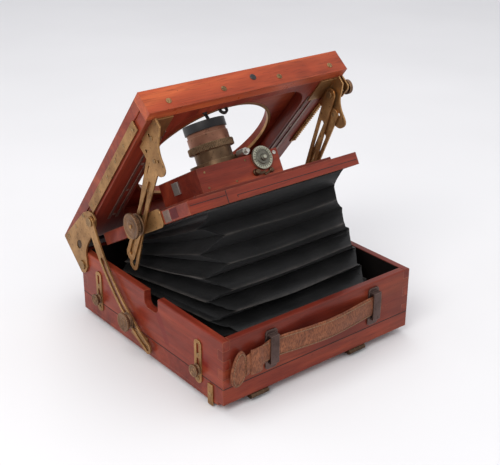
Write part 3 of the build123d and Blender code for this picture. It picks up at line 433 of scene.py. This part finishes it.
class Shape:
    """Vertices and faces gathered from several closed parts."""

    def __init__(self):
        self.vertices = []
        self.faces = []

    def add(self, vertices, faces):
        """Take in one more closed part."""
        base = len(self.vertices)
        self.vertices += vertices
        self.faces += [tuple(base + i for i in face) for face in faces]

    def revolved(self, centre, axis, profile, segments, teeth, depth, knurled, closed):
        """Vertices and side faces of a profile turned round an axis; closed joins its ends."""
        axis = axis.normalized()
        side = axis.orthogonal().normalized()
        other = axis.cross(side)
        vertices, faces = [], []
        rings = len(profile)
        for k, (height, radius) in enumerate(profile):
            for i in range(segments):
                angle = 2 * math.pi * i / segments
                r = radius
                if k in knurled:
                    r -= depth * (0.5 + 0.5 * math.cos(angle * teeth))
                way = side * math.cos(angle) + other * math.sin(angle)
                vertices.append(centre + (axis * height + way * r) * 0.001)
        for k in range(rings if closed else rings - 1):
            m = (k + 1) % rings
            for i in range(segments):
                j = (i + 1) % segments
                faces.append((k * segments + i, k * segments + j, m * segments + j, m * segments + i))
        return vertices, faces

    def turned(self, centre, axis, profile, segments=72, teeth=0, depth=0.0, knurled=()):
        """Solid of revolution: profile is (height, radius) in mm from the axis and back to it."""
        vertices, faces = self.revolved(centre, axis, profile, segments, teeth, depth, knurled, False)
        last = (len(profile) - 1) * segments
        faces.append(tuple(range(segments)))
        faces.append(tuple(last + i for i in reversed(range(segments))))
        self.add(vertices, faces)

    def ring(self, centre, axis, profile, segments=72, teeth=0, depth=0.0, knurled=()):
        """Closed ring of revolution: profile is a closed loop of (height, radius) in mm."""
        self.add(*self.revolved(centre, axis, profile, segments, teeth, depth, knurled, True))

    def bar(self, centre, u, v, w, size):
        """Bevelled block: half-sizes along three directions, in mm."""
        bevel = min(size) * 0.25
        vertices, faces = [], []
        levels = ((-1, 1), (-1, 0), (1, 0), (1, 1))
        for sign, inset in levels:
            a, b, c = size
            height = sign * (c if inset else c - bevel)
            da, db = (a - bevel, b - bevel) if inset else (a, b)
            for p, r in ((-1, -1), (1, -1), (1, 1), (-1, 1)):
                vertices.append(centre + (u * p * da + v * r * db + w * height) * 0.001)
        for k in range(3):
            for i in range(4):
                j = (i + 1) % 4
                faces.append((4 * k + i, 4 * k + j, 4 * k + 4 + j, 4 * k + 4 + i))
        faces += [(3, 2, 1, 0), (12, 13, 14, 15)]
        self.add(vertices, faces)

    def screw(self, centre, axis, radius, height, turn):
        """Round screw head with a cut slot."""
        axis = axis.normalized()
        side = axis.orthogonal().normalized()
        side.rotate(Matrix.Rotation(turn, 3, axis))
        other = axis.cross(side)
        rim = radius * 0.985
        self.turned(centre, axis, [(-0.2, radius), (height * 0.4, radius), (height * 0.42, rim)], 40)
        gap = radius * 0.13
        steps = 14
        for sign in (-1, 1):
            start = math.asin(gap / rim)
            loop = [start + (math.pi - 2 * start) * k / steps for k in range(steps + 1)]
            vertices = []
            for level, shrink in ((0.4, 1.0), (0.75, 0.97), (1.0, 0.80)):
                for angle in loop:
                    a = rim * shrink * math.cos(angle)
                    b = max(gap, rim * shrink * math.sin(angle))
                    vertices.append(centre + (side * a + other * sign * b + axis * height * level) * 0.001)
            n = steps + 1
            faces = [tuple(range(n)), tuple(2 * n + i for i in reversed(range(n)))]
            for k in range(2):
                for i in range(n):
                    j = (i + 1) % n
                    faces.append((k * n + i, k * n + j, (k + 1) * n + j, (k + 1) * n + i))
            self.add(vertices, faces)

    def make(self, name, material, body, replaced=(), smooth=35):
        """The gathered parts as one mesh piece."""
        return piece(name, self.vertices, self.faces, material, body, replaced, smooth)


dice = random.Random(7)


def any_turn():
    """A screw's slot points any way."""
    return dice.uniform(0, math.pi)


# ---------------------------------------------------------------- bellows
PLEATS = 7
PLEAT_DEPTH = 19.0
ROWS = 6                     # rows of faces per fold
CLOTH = 0.0006
LINING_CLOTH = 0.0005
LOW = (Vector((0, -105.0, 30.5)), Vector((0, 106.0, 30.5)), 97.5)
TOP = (
    PANEL_EDGE + PANEL_DOWN * 4 + PANEL_UP * -0.4,
    PANEL_EDGE + PANEL_DOWN * 159 + PANEL_UP * -0.4,
    82.0,
)
ALONG_X, ALONG_Y = 40, 44


def bellows_corners(part):
    """Strap-side end, hinge-side end and half width of the bellows at a fraction of its way up."""
    rise = part * (0.62 + 0.38 * part)      # the lower folds lie closer together
    return LOW[0].lerp(TOP[0], rise), LOW[1].lerp(TOP[1], rise), LOW[2] + (TOP[2] - LOW[2]) * rise


def fold_depths(level):
    """How far the strap and hinge faces, and the side faces, stand in at a fold level."""
    phase = level % 2
    inward = phase if phase <= 1 else 2 - phase
    ends = min(1.0, level / 0.9, (2 * PLEATS - level) / 0.9)
    face = PLEAT_DEPTH * inward * ends
    side = PLEAT_DEPTH * (1 - inward) * ends
    return face + 0.4, side + 0.4


def bellows_ring(level):
    """Points round the bellows at a fold level, with how much each is rubbed."""
    strap, hinge, half = bellows_corners(level / (2 * PLEATS))
    run = (hinge - strap).normalized()
    up = X.cross(run)
    face, side = fold_depths(level)
    near, far, wide = strap + run * face, hinge - run * face, half - side
    nearest = abs(level - round(level))
    sharp = max(0.0, 1 - nearest / 0.16)
    front_ridge = round(level) % 2 == 0
    settle = min(1.0, level / 1.2, (2 * PLEATS - level) / 1.2)
    points = []

    def put(x, base, is_front, share):
        """Add one point, with the cloth's sag, its bulge between ridges and its wear."""
        corner = 1 - min(share, 1 - share) * 2
        lift = noise.noise(Vector((x * 0.012, base.y * 0.012, level * 3.1))) * 2.2
        sag = math.sin(math.pi * share) * (1.4 if is_front else 1.0)
        point = base + X * x + up * settle * (lift - sag * (0.5 if round(level) % 2 else 1.0))
        outward = -run if is_front else X * (1 if x > 0 else -1)
        bulge = (1 - sharp) * 0.8 + noise.noise(Vector((x * 0.05, base.y * 0.05, level * 1.7))) * 0.7
        point = point - outward * abs(bulge)
        ridge = sharp if (is_front == front_ridge) else sharp * 0.12
        points.append((point, min(1.0, ridge * (0.55 + 0.45 * corner ** 3))))

    for i in range(ALONG_X):
        share = i / ALONG_X
        put(-wide + 2 * wide * share, near, True, share)
    for i in range(ALONG_Y):
        share = i / ALONG_Y
        put(wide, near.lerp(far, share), False, share)
    for i in range(ALONG_X):
        share = i / ALONG_X
        put(wide - 2 * wide * share, far, True, share)
    for i in range(ALONG_Y):
        share = i / ALONG_Y
        put(-wide, far.lerp(near, share), False, share)
    return points


def cloth_piece(name, vertices, faces, rub, thickness, offset):
    """Open sheet of bellows cloth, thickened, with how much each point is rubbed."""
    obj = piece(name, vertices, faces, "bellows", None, (), 38)
    layer = obj.data.attributes.new("rub", "FLOAT", "POINT")
    layer.data.foreach_set("value", rub)
    thick = obj.modifiers.new("cloth", "SOLIDIFY")
    thick.thickness = thickness
    thick.offset = offset
    return obj


def bellows_piece(name, first, last, replaced):
    """One stretch of the bellows between two fold levels, with an inner skin so that it has a thickness."""
    steps = (last - first) * ROWS
    rings = [bellows_ring(first + k / ROWS) for k in range(steps + 1)]
    count = len(rings[0])
    vertices, rub = [], []
    for ring in rings:
        for point, worn in ring:
            vertices.append(mm(point))
            rub.append(worn)
    faces = []
    for k in range(steps):
        for i in range(count):
            j = (i + 1) % count
            faces.append((k * count + i, k * count + j, (k + 1) * count + j, (k + 1) * count + i))
    obj = cloth_piece(name, vertices, faces, rub, CLOTH, -1)
    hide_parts(*replaced)
    return obj, rings


def bend_between(obj, rings, last):
    """Bake a stretch's placement into its mesh; the middle of its last fold, dropped to that fold's lowest
    point, is worked out but not used.
    """
    strap, hinge, half = bellows_corners(last / (2 * PLEATS))
    normal = X.cross((hinge - strap).normalized())
    end = (strap + hinge) / 2
    below = min((point - end).dot(normal) for point, _ in rings[-1])
    end = end + normal * min(0.0, below)
    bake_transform(obj)


STRETCHES = (
    ("bellows_lower_folds", 0, 7, "body", "baseboard", ("bellows_rear",)),
    ("bellows_middle_folds", 7, 9, "baseboard", "sliding_frame", ("bellows_middle",)),
    ("bellows_upper_folds", 9, 14, "front_standard", None, ("bellows_front",)),
)
for title, first, last, from_body, to_body, replaced in STRETCHES:
    stretch, rings = bellows_piece(title, first, last, replaced)
    if to_body:
        bend_between(stretch, rings, last)
    else:
        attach(stretch, from_body)


SLEEVE_ROWS, SLEEVE_STEPS = 12, 8      # rows up the sleeve, and steps along each of its four sides


def sleeve(name, low, high):
    """Stretch of the inner light sleeve between two rectangular rings.

    A ring is (centre, way, half length along the way, half width), in millimetres.
    """
    corners = ((1, 1), (-1, 1), (-1, -1), (1, -1))
    count = 4 * SLEEVE_STEPS
    vertices, faces = [], []
    for level in range(SLEEVE_ROWS + 1):
        part = level / SLEEVE_ROWS
        centre, way = low[0].lerp(high[0], part), low[1].lerp(high[1], part)
        along, wide = low[2] + (high[2] - low[2]) * part, low[3] + (high[3] - low[3]) * part
        pucker = 1.0 - (0.03 if level % 2 else 0.0)
        for k, (a, b) in enumerate(corners):
            c, d = corners[(k + 1) % 4]
            for i in range(SLEEVE_STEPS):
                u, v = a + (c - a) * i / SLEEVE_STEPS, b + (d - b) * i / SLEEVE_STEPS
                vertices.append(mm(centre + (way * v * along + X * u * wide) * pucker))
    for k in range(SLEEVE_ROWS):
        for i in range(count):
            j = (i + 1) % count
            faces.append((k * count + i, k * count + j, (k + 1) * count + j, (k + 1) * count + i))
    obj = cloth_piece(name, vertices, faces, [0.0] * len(vertices), LINING_CLOTH, 0)
    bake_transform(obj)


inner_strap, inner_hinge, inner_half = bellows_corners(8 / (2 * PLEATS))
LOW_WAY = (inner_hinge - inner_strap).normalized()
SLEEVE_INSET = 26                      # clears the folds' inner ridges
SLEEVE_LOW = (
    (inner_strap + inner_hinge) / 2,
    LOW_WAY,
    (inner_hinge - inner_strap).length / 2 - SLEEVE_INSET,
    inner_half - SLEEVE_INSET,
)
SLEEVE_NECK = (PANEL_EDGE + PANEL_DOWN * 82 + PANEL_UP * 1, PANEL_DOWN, 9, 41)
SLEEVE_TOP = (PANEL_EDGE + PANEL_DOWN * 82 + PANEL_UP * 9, PANEL_DOWN, 13, 42)
sleeve("bellows_inner_sleeve", SLEEVE_LOW, SLEEVE_NECK)
sleeve("bellows_inner_collar", SLEEVE_NECK, SLEEVE_TOP)

# ---------------------------------------------------------------- strap
STRAP_Z = (38.0, 58.0)
WALL_Y = -116.5
STRAP_RUN = [
    (71, 3.4), (64, 3.4), (53, 3.8), (30, 6.6), (4, 9.0),
    (-22, 7.4), (-46, 4.2), (-60, 3.4), (-72, 3.6), (-92, 4.8),
]


def smooth_run(points, steps=14):
    """Points on a smooth curve through the given ones."""
    out = []
    for k in range(len(points) - 1):
        p0 = Vector(points[max(k - 1, 0)])
        p1, p2 = Vector(points[k]), Vector(points[k + 1])
        p3 = Vector(points[min(k + 2, len(points) - 1)])
        for i in range(steps):
            t = i / steps
            out.append(
                0.5 * (2 * p1 + (p2 - p0) * t + (2 * p0 - 5 * p1 + 4 * p2 - p3) * t * t
                       + (3 * p1 - p0 - 3 * p2 + p3) * t * t * t)
            )
    out.append(Vector(points[-1]))
    return out


def leather_band(shape, run, z_low, z_high, thickness, crown, drop=lambda part: 0.0):
    """Flat band standing on edge along a run of (x, depth) points, with rounded edges."""
    section = []
    count = 14
    for k in range(count + 1):
        share = k / count
        across = -1 + 2 * share
        section.append((share, thickness / 2 * (1 - abs(across) ** 6 * 0.75) + crown * (1 - across ** 2)))
    for k in reversed(range(count + 1)):
        share = k / count
        across = -1 + 2 * share
        section.append((share, -thickness / 2 * (1 - abs(across) ** 6 * 0.75)))
    vertices, faces = [], []
    for k, point in enumerate(run):
        ahead = run[min(k + 1, len(run) - 1)] - run[max(k - 1, 0)]
        normal = Vector((-ahead.y, ahead.x)).normalized()
        if normal.y < 0:
            normal = -normal
        fall = drop(k / (len(run) - 1))
        for share, off in section:
            flat = point + normal * off
            wave = noise.noise(Vector((flat.x * 0.06, share * 2.0, 3.0))) * 0.5
            z = z_low + (z_high - z_low) * share + fall + wave
            vertices.append(mm((flat.x, WALL_Y - flat.y, z)))
    n = len(section)
    for k in range(len(run) - 1):
        for i in range(n):
            j = (i + 1) % n
            faces.append((k * n + i, k * n + j, (k + 1) * n + j, (k + 1) * n + i))
    faces.append(tuple(range(n)))
    faces.append(tuple((len(run) - 1) * n + i for i in reversed(range(n))))
    shape.add(vertices, faces)


def end_drop(part):
    """The strap's left end hangs lower, from 82 % of its length on."""
    return -6.0 * max(0.0, part - 0.82) / 0.18


strap = Shape()
strap_path = smooth_run(STRAP_RUN)
leather_band(strap, strap_path, STRAP_Z[0], STRAP_Z[1], 2.4, 0.7, end_drop)
keeper = smooth_run([(-74, 5.3), (-78, 6.4), (-83, 6.4), (-87, 5.6)], 6)
leather_band(strap, keeper, 32.0, 57.0, 1.6, 0.5)
TONGUE_C, TONGUE_HALF, TONGUE_SIDES = Vector((-98.5, 41.5)), (8.2, 17.0), 56
TONGUE_LEVELS = ((3.0, 0.90), (3.4, 1.0), (4.6, 1.0), (5.3, 0.94), (5.7, 0.70))
rings = []
for depth, grow in TONGUE_LEVELS:
    ring = []
    for k in range(TONGUE_SIDES):
        angle = 2 * math.pi * k / TONGUE_SIDES
        x = TONGUE_HALF[0] * grow * math.cos(angle) * (1 - 0.16 * math.sin(angle))
        z = TONGUE_HALF[1] * grow * math.sin(angle)
        ring.append(mm((TONGUE_C.x + x + 0.12 * z, WALL_Y - depth, TONGUE_C.y + z)))
    rings.append(ring)
top_level = len(TONGUE_LEVELS) - 1
tongue_faces = [
    tuple(reversed(range(TONGUE_SIDES))),
    tuple(TONGUE_SIDES * top_level + k for k in range(TONGUE_SIDES)),
]
for level in range(top_level):
    for k in range(TONGUE_SIDES):
        here, ahead = level * TONGUE_SIDES + k, level * TONGUE_SIDES + (k + 1) % TONGUE_SIDES
        tongue_faces.append((here, ahead, ahead + TONGUE_SIDES, here + TONGUE_SIDES))
strap.add([point for ring in rings for point in ring], tongue_faces)
strap.make("carrying_strap_leather", "strap", "body", ("carrying_strap",), 50)

stitches = Shape()
STITCH = (1.5, 0.32, 0.32)
for row in (1.9, 18.1):
    for k in range(4, len(strap_path) - 6, 2):
        here, ahead = strap_path[k], strap_path[k + 1] - strap_path[k - 1]
        if ahead.length < 1e-6 or min(abs(here.x - 64), abs(here.x + 60.5)) < 7:
            continue
        along = Vector((ahead.x, -ahead.y, 0)).normalized()
        out = Vector((along.y, -along.x, 0))
        if out.y > 0:
            out = -out
        place = mm((here.x, WALL_Y - here.y, STRAP_Z[0] + row)) + out * 0.0015
        stitches.bar(place, along, Vector((0, 0, 1)), out, STITCH)
for k in range(40):
    angle = 2 * math.pi * k / 40
    x = (TONGUE_HALF[0] - 1.9) * math.cos(angle) * (1 - 0.16 * math.sin(angle))
    z = (TONGUE_HALF[1] - 2.2) * math.sin(angle)
    round_way = Vector((-math.sin(angle) * TONGUE_HALF[0], 0, math.cos(angle) * TONGUE_HALF[1]))
    round_way.normalize()
    way = Vector((round_way.z, 0, -round_way.x))
    place = mm((TONGUE_C.x + x + 0.12 * z, WALL_Y - 5.65, TONGUE_C.y + z))
    stitches.bar(place, round_way, way, Vector((0, -1, 0)), (0.75, 0.28, 0.3))
stitches.make("strap_stitches", "thread", "body", (), 35)

# ---------------------------------------------------------------- knobs
PANEL_STUD = panel(0, 82, 8)
STAY_CENTRE = Vector((0, -95.0, 192.4))
STAY_R = 199.4


def stay_point(angle):
    """Point on the middle line of the stays, in metres."""
    turn = math.radians(angle)
    return mm(STAY_CENTRE + Vector((0, math.cos(turn), math.sin(turn))) * STAY_R)


def knob(name, side, point, x_from, sizes, material, body, replaced, teeth):
    """Two-flanged clamp nut turned along X, its outer flange knurled and dished."""
    inner, waist, outer, length, flange = sizes
    shape = Shape()
    rim = length - flange
    profile = [
        (0.0, inner * 0.9), (0.25, inner), (flange * 0.5, inner), (flange * 0.62, inner * 0.93),
        (flange * 0.75, waist * 1.05), (rim * 0.6, waist), (rim - 0.2, waist * 1.1),
        (rim, outer * 0.92), (rim + 0.35, outer), (length - 0.5, outer), (length - 0.1, outer * 0.95),
        (length, outer * 0.86), (length - 0.5, outer * 0.80), (length - 0.7, outer * 0.5),
        (length - 0.1, outer * 0.44), (length, outer * 0.34), (length - 0.6, outer * 0.28),
    ]
    centre = Vector((side * x_from * 0.001, point.y, point.z))
    shape.turned(centre, X * side, profile, teeth * 6, teeth, outer * 0.055, (8, 9))
    return shape.make(name, material, body, replaced, 32)


for side, word in SIDES:
    knob(f"clamp_nut_{word}", side, PANEL_STUD, 104.3, (10.5, 7.5, 12.3, 8.8, 3.0), "knob",
         f"clamp_knob_{word}", (f"clamp_knob_{word}",), 36)
    knob(f"stay_nut_{word}", side, stay_point(-53.5), 117.3, (8.2, 6.6, 9.5, 7.5, 2.6), "knob",
         f"stay_knob_{word}", (f"stay_knob_{word}",), 30)
    for y, place in ((-81.5, "front"), (83.7, "rear")):
        title = f"swing_knob_{place}_{word}"
        knob(f"swing_nut_{place}_{word}", side, mm((0, y, 28.8)), 113.8, (5.2, 4.3, 6.0, 5.6, 1.9), "knob",
             title, (title,), 24)


# ---------------------------------------------------------------- screws
def screws(name, spots, body, replaced, material="brass_dark"):
    """Slotted heads at (point, axis, radius, height)."""
    shape = Shape()
    for point, axis, radius, height in spots:
        shape.screw(point, axis, radius, height, any_turn())
    return shape.make(name, material, body, replaced, 30)


plate_spots = []
for side, word in SIDES:
    for y in (-81.5, 83.7):
        plate_spots.append((mm((side * 113.7, y, 19.4)), X * side, 2.4, 0.6))
    for y, z in ((2.5, 12.5), (19.0, 18.5)):
        plate_spots.append((mm((side * 113.7, y, z)), X * side, 2.0, 0.6))
plate_spots.append((mm((-113.7, -99.0, 12.0)), -X, 2.2, 0.6))
screws("swing_plate_screw_heads", plate_spots, "swing_back", ("swing_plate_screws",))
screws("hex_plate_screw_heads", [(mm((s * 113.7, 38.0, 26.5)), X * s, 2.0, 0.6) for s, w in SIDES], "body",
       ("hex_plate_screws",))
rail_spots = [(bed(x, 238.6, 14.5), BED_OUT, 2.6, 0.8) for x in (-89.2, -30.7, 32.8, 95.1)]
screws("rail_screw_heads", rail_spots, "sliding_frame", ("rail_screws",))
black_stud = Shape()
black_stud.turned(bed(5.2, 238.6, 9.3), BED_OUT, [(-0.3, 3.2), (0.3, 3.2), (0.8, 2.6), (0.9, 1.0)], 40)
black_stud.make("rail_black_stud", "enamel", "sliding_frame", (), 30)
strip_spots = []
for side, first, last in ((-1, 76, 212), (1, 76, 203)):
    for k in range(6):
        s = first + 6 + (last - first - 12) * k / 5
        strip_spots.append((bed(side * 113.9, s, 15), X * side, 1.7, 0.4))
screws("guide_strip_screw_heads", strip_spots, "baseboard", ())

# ---------------------------------------------------------------- shutter dial and lens details
DIAL_AT = panel(27.0, 50.0, 34.0)
FACE_OUT = -PANEL_DOWN
DIAL_PROFILE = [
    (0.0, 10.6), (2.0, 10.6), (2.5, 10.2), (2.6, 6.4), (3.4, 6.0), (3.6, 3.6), (5.6, 3.3), (6.0, 2.6),
]
DIAL_RIM_PROFILE = [(0.1, 8.4), (0.1, 11.5), (2.7, 11.5), (3.0, 11.2), (3.0, 8.3), (2.5, 8.0)]
dial = Shape()
dial.turned(DIAL_AT, FACE_OUT, DIAL_PROFILE)
dial.make("shutter_speed_dial", "dial", "shutter_dial", ("shutter_dial",), 30)
rim = Shape()
rim.ring(DIAL_AT, FACE_OUT, DIAL_RIM_PROFILE, 288, 48, 0.5, (1, 2))
rim.turned(DIAL_AT + FACE_OUT * 0.0058, FACE_OUT, [(0, 2.2), (1.2, 2.1), (1.5, 1.6)], 32)
rim.make("shutter_dial_rim", "dial_rim", "shutter_dial", (), 30)
ticks = Shape()
for k in range(24):
    angle = 2 * math.pi * k / 24
    way = X * math.cos(angle) + PANEL_UP * math.sin(angle)
    around = X * -math.sin(angle) + PANEL_UP * math.cos(angle)
    long_tick = 1.3 if k % 3 == 0 else 0.75
    ticks.bar(DIAL_AT + FACE_OUT * 0.0030 + way * 0.0093, way, around, FACE_OUT, (long_tick, 0.30, 0.16))
ticks.make("shutter_dial_ticks", "enamel", "shutter_dial", (), 30)

trigger = Shape()
trigger_profile = [(0, 3.4), (1.6, 3.4), (2.0, 2.9), (4.4, 2.6), (4.8, 2.0)]
lever_along, lever_across = X * 0.94 + PANEL_UP * 0.34, PANEL_UP * 0.94 - X * 0.34
trigger.turned(panel(16.0, 50, 22.0), FACE_OUT, trigger_profile, 40)
trigger.bar(panel(20.5, 48.6, 20.2), X, PANEL_UP, FACE_OUT, (5.4, 1.2, 0.5))
trigger.bar(panel(28.5, 48.8, 19.0), lever_along, lever_across, FACE_OUT, (4.2, 0.9, 0.5))
trigger.turned(panel(33.5, 50, 20.5), FACE_OUT, [(0, 2.4), (2.2, 2.4), (2.6, 1.8)], 32)
trigger.make("shutter_trigger", "bronze", "front_standard", (), 30)
face_spots = [(panel(x, 50, h), FACE_OUT, 1.1, 0.4) for x, h in ((-40, 20), (-40, 35), (-8, 19), (8, 36))]
screws("shutter_face_screws", face_spots, "front_standard", ())

# ---------------------------------------------------------------- inlays and tracks
seam = Shape()
SEAM_RUNS = (
    (0, -116.5, 112.3, 0.12),
    (0, 116.5, 112.3, 0.12),
    (-112.5, 0, 0.12, 116.3),
    (112.5, 0, 0.12, 116.3),
)
for x, y, half_x, half_y in SEAM_RUNS:
    seam.bar(mm((x, y, 24.0)), X, Vector((0, 1, 0)), Vector((0, 0, 1)), (half_x, half_y, 0.42))
seam.make("back_seam_shadow", "gap", "body", (), 30)
for side, word in SIDES:
    stud = Shape()
    stud.turned(bed(side * 112.9, 22.9, 24.2), X * side, [(0, 5.6), (0.9, 5.4), (1.4, 4.4), (1.5, 1.0)], 40)
    stud.make(f"bed_ear_stud_{word}", "bronze", "baseboard", (), 30)
# painted shade: a near-black batten on the inside of the bed near its hinge end, its black standing in for
# the shade there
shade_batten = Shape()
shade_batten.bar(bed(0, 9.5, 17.6), X, BED_OUT, BED_IN, (100.0, 6.5, 4.6))
shade_batten.make("bed_rear_shade_batten", "gap", "baseboard", (), 30)
fitting = Shape()
fitting.ring(bed(-22.5, 211.5, 20), BED_OUT, [(0, 2.5), (0, 4.6), (2.2, 4.6), (2.2, 2.5)], 48)
fitting.bar(bed(-22.5, 212.6, 15.6), BED_IN, X, BED_OUT, (1.2, 2.2, 0.9))
fitting.bar(bed(-41.5, 215, 17.0), BED_OUT, X, BED_IN, (4.6, 2.3, 2.3))
fitting.bar(bed(-41.5, 211.2, 21.5), BED_IN, X, BED_OUT, (4.2, 1.4, 0.9))
fitting.make("bed_ring_and_hook", "enamel", "sliding_frame", ("rail_fittings",), 35)
# painted shade: a thin dark red sheet on the panel's left end face, where that face lies in shade
lining_and_shade = Shape()
lining_and_shade.bar(panel(-98.95, 25.5, 6.3), PANEL_DOWN, PANEL_UP, X, (6.0, 4.6, 0.12))
lining_and_shade.make("panel_end_painted_shade", "painted_shade", "front_standard", (), 30)
end_plate = Shape()
end_plate.bar(panel(-98.95, 38.0, 6.0), PANEL_DOWN, PANEL_UP, X, (5.6, 5.2, 0.25))
end_plate.make("panel_end_plate", "track", "front_standard", (), 30)
inlay = Shape()
inlay.bar(panel(25.0, 0.0, 5.0), X, PANEL_UP, FACE_OUT, (72.0, 0.30, 0.12))
inlay.bar(panel(-46.9, 0.0, 4.0), PANEL_UP, X, FACE_OUT, (1.2, 0.30, 0.12))
inlay.bar(panel(-78.0, 0.0, 7.6), X, PANEL_UP, FACE_OUT, (19.0, 0.26, 0.12))
inlay.bar(panel(-58.0, 0.0, 6.0), PANEL_UP, X, FACE_OUT, (6.0, 0.35, 0.14))
inlay.make("panel_joint_lines", "gap", "front_standard", (), 30)
tracks = Shape()
for side, word in SIDES:
    for x in (84.0, 92.5):
        tracks.bar(bed(side * x, 132, 22.95), BED_OUT, X, BED_IN, (72.0, 1.5, 0.35))
    for s in (66, 110, 154, 198):
        tracks.screw(bed(side * 88.2, s, 22.6), BED_IN, 1.8, 0.5, any_turn())
tracks.make("frame_track_strips", "track", "sliding_frame", (), 30)

IRIS_PROFILE = [(0, 19.1), (0, 22.4), (0.6, 23), (6.2, 23), (6.8, 22.4), (6.8, 19.1)]
iris = Shape()
iris.ring(panel(0, 86, 56.1), PANEL_UP, IRIS_PROFILE, 288, 72, 0.6, (2, 3))
iris.make("iris_ring_knurled", "lens_brass", "iris_ring", ("iris_ring",), 30)

# ---------------------------------------------------------------- floor, light, camera
floor = piece("floor", [(-9, -9, 0), (9, -9, 0), (9, 9, 0), (-9, 9, 0)], [(0, 1, 2, 3)], "strap", None)
g = Graph("pale_floor")
mottle = g.noise(g.place(), 3.0, 2.0)
g.shader(Base_Color=g.ramp(mottle, [(0.3, (0.755, 0.75, 0.752)), (0.7, (0.785, 0.78, 0.782))]), Roughness=0.7)
floor.data.materials[0] = g.mat

world = bpy.data.worlds.new("studio")
bpy.context.scene.world = world
bpy.context.scene.view_settings.view_transform = "Standard"
world.use_nodes = True
world.node_tree.nodes["Background"].inputs["Color"].default_value = (0.95, 0.955, 1.0, 1)
world.node_tree.nodes["Background"].inputs["Strength"].default_value = 0.76


def softbox(name, place, target, size, power, colour=(1, 1, 1)):
    """Square area light aimed at a point."""
    data = bpy.data.lights.new(name, "AREA")
    data.shape = "SQUARE"
    data.size = size
    data.energy = power
    data.color = colour
    light = bpy.data.objects.new(name, data)
    light.location = place
    light.rotation_euler = (Vector(target) - Vector(place)).to_track_quat("-Z", "Y").to_euler()
    COLLECTION.objects.link(light)


softbox("key", (-1.2, -0.55, 1.3), (0, 0, 0.1), 0.9, 15.5, (1.0, 0.98, 0.96))
softbox("fill", (1.3, -0.9, 1.0), (0, 0, 0.1), 1.2, 3.0)
softbox("top", (0.1, 0.4, 1.7), (0, 0, 0.1), 1.2, 9.0)

CAMERA_AT = Vector((-0.5437, -0.6898, 0.4992))
AZIMUTH, ELEVATION, ROLL = math.radians(-38.74), math.radians(24.54), math.radians(0.155)
lens = bpy.data.cameras.new("camera")
lens.lens = 71.94
lens.sensor_width = 36.0
camera = bpy.data.objects.new("camera", lens)
camera.location = CAMERA_AT
turn = Matrix.Rotation(AZIMUTH, 3, "Z") @ Matrix.Rotation(math.pi / 2 - ELEVATION, 3, "X")
turn = turn @ Matrix.Rotation(ROLL, 3, "Z")
camera.rotation_euler = turn.to_euler()
COLLECTION.objects.link(camera)
bpy.context.scene.camera = camera
